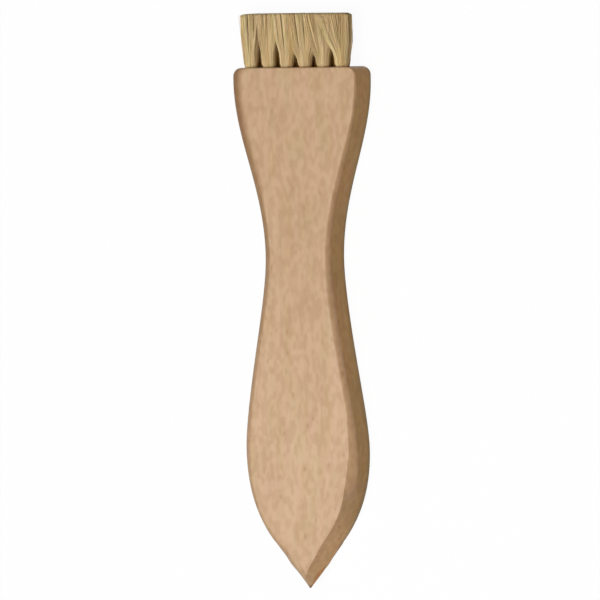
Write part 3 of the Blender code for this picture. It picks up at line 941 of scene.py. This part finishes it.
def make_camera(stage):
    """A camera round to the brush's right, turned so that the point's tip falls on its pixel."""
    data = bpy.data.cameras.new("camera")
    data.lens = stage.lens
    data.clip_start = 0.01
    data.clip_end = 20
    camera = bpy.data.objects.new("camera", data)
    bpy.context.scene.collection.objects.link(camera)
    level = Vector((math.cos(stage.yaw), 0, -math.sin(stage.yaw)))
    outwards = Vector((math.sin(stage.yaw), 0, math.cos(stage.yaw)))
    back = outwards * math.cos(stage.pitch) + Vector((0, math.sin(stage.pitch), 0))
    along = back.cross(level)
    right = level * math.cos(stage.roll) - along * math.sin(stage.roll)
    up = along * math.cos(stage.roll) + level * math.sin(stage.roll)
    distance = stage.view_height * data.lens / data.sensor_width
    pixel = stage.view_height / PHOTO_PIXELS
    tip = Vector((0, HANDLE_LOW.y, HALF_THICKNESS))
    beside = (stage.tip_pixel[0] - PHOTO_PIXELS / 2) * pixel
    above = (PHOTO_PIXELS / 2 - stage.tip_pixel[1]) * pixel
    place = tip - right * beside - up * above + back * distance
    camera.matrix_world = Matrix.Translation(place) @ Matrix((right, up, back)).transposed().to_4x4()
    bpy.context.scene.camera = camera


def stored_material(name, maker):
    """The material of that name, made the first time that it is asked for."""
    return bpy.data.materials.get(name) or maker(bpy.context.scene.hand_brush_finish)


class HAND_BRUSH_OT_handle(bpy.types.Operator):
    """Build the beech handle, with a blind hole for each tuft and a notch for each anchor"""

    bl_idname = "hand_brush.handle"
    bl_label = "Handle"

    def execute(self, context):
        handle = make_handle(context.scene.hand_brush_handle, stored_material("beech_grain", beech_material))
        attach(handle, "root")
        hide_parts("handle")
        return {"FINISHED"}


class HAND_BRUSH_OT_tufts(bpy.types.Operator):
    """Build the bristle tufts, one piece each, hair by hair"""

    bl_idname = "hand_brush.tufts"
    bl_label = "Bristle tufts"

    def execute(self, context):
        bristle = context.scene.hand_brush_bristle
        material = stored_material("bristle_hairs", bristle_material)
        for number, node in enumerate(TUFT_NODES):
            ending = node.removeprefix("tuft_")
            seed = bristle.seed * 100 + number
            tuft = make_tuft(ending, seed, bristle, context.scene.hand_brush_handle, material)
            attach(tuft, "root")
            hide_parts(node)
        return {"FINISHED"}


class HAND_BRUSH_OT_anchors(bpy.types.Operator):
    """Give the wire anchors their drawn steel finish"""

    bl_idname = "hand_brush.anchors"
    bl_label = "Wire anchors"

    def execute(self, context):
        material = stored_material("drawn_steel", wire_material)
        for name in ANCHOR_NODES:
            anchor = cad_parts[name]
            anchor.data.materials.clear()
            anchor.data.materials.append(material)
        return {"FINISHED"}


class HAND_BRUSH_OT_stage(bpy.types.Operator):
    """Set up the pale floor, the soft studio light and the camera"""

    bl_idname = "hand_brush.stage"
    bl_label = "Stage"

    def execute(self, context):
        stage = context.scene.hand_brush_stage
        make_floor(stage)
        make_world(stage)
        add_lamp("key_lamp", KEY_DIRECTION, stage.key_distance, stage.key_size, stage.key_power)
        make_camera(stage)
        context.scene.view_settings.view_transform = "Standard"
        return {"FINISHED"}


class HAND_BRUSH_PT_main(bpy.types.Panel):
    """Lists the brush's operators and sizes in the sidebar"""

    bl_label = "Hand brush"
    bl_space_type = "VIEW_3D"
    bl_region_type = "UI"
    bl_category = "Hand brush"

    def draw(self, context):
        for operator in OPERATORS:
            self.layout.operator(operator.bl_idname)
        for name, group in GROUPS.items():
            box = self.layout.box()
            box.label(text=name.removeprefix("hand_brush_").capitalize())
            for setting in group.__annotations__:
                box.prop(getattr(context.scene, name), setting)


GROUPS = {
    "hand_brush_handle": HandBrushHandle,
    "hand_brush_bristle": HandBrushBristle,
    "hand_brush_finish": HandBrushFinish,
    "hand_brush_stage": HandBrushStage,
}
OPERATORS = (HAND_BRUSH_OT_handle, HAND_BRUSH_OT_tufts, HAND_BRUSH_OT_anchors, HAND_BRUSH_OT_stage)


def register():
    for item in (*GROUPS.values(), *OPERATORS, HAND_BRUSH_PT_main):
        bpy.utils.register_class(item)
    for name, group in GROUPS.items():
        setattr(bpy.types.Scene, name, PointerProperty(type=group))


def unregister():
    for name in GROUPS:
        delattr(bpy.types.Scene, name)
    for item in reversed((*GROUPS.values(), *OPERATORS, HAND_BRUSH_PT_main)):
        bpy.utils.unregister_class(item)


def main():
    """Registers the add-on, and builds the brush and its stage."""
    register()
    bpy.ops.hand_brush.handle()
    bpy.ops.hand_brush.tufts()
    bpy.ops.hand_brush.anchors()
    bpy.ops.hand_brush.stage()


if __name__ == "__main__":
    main()
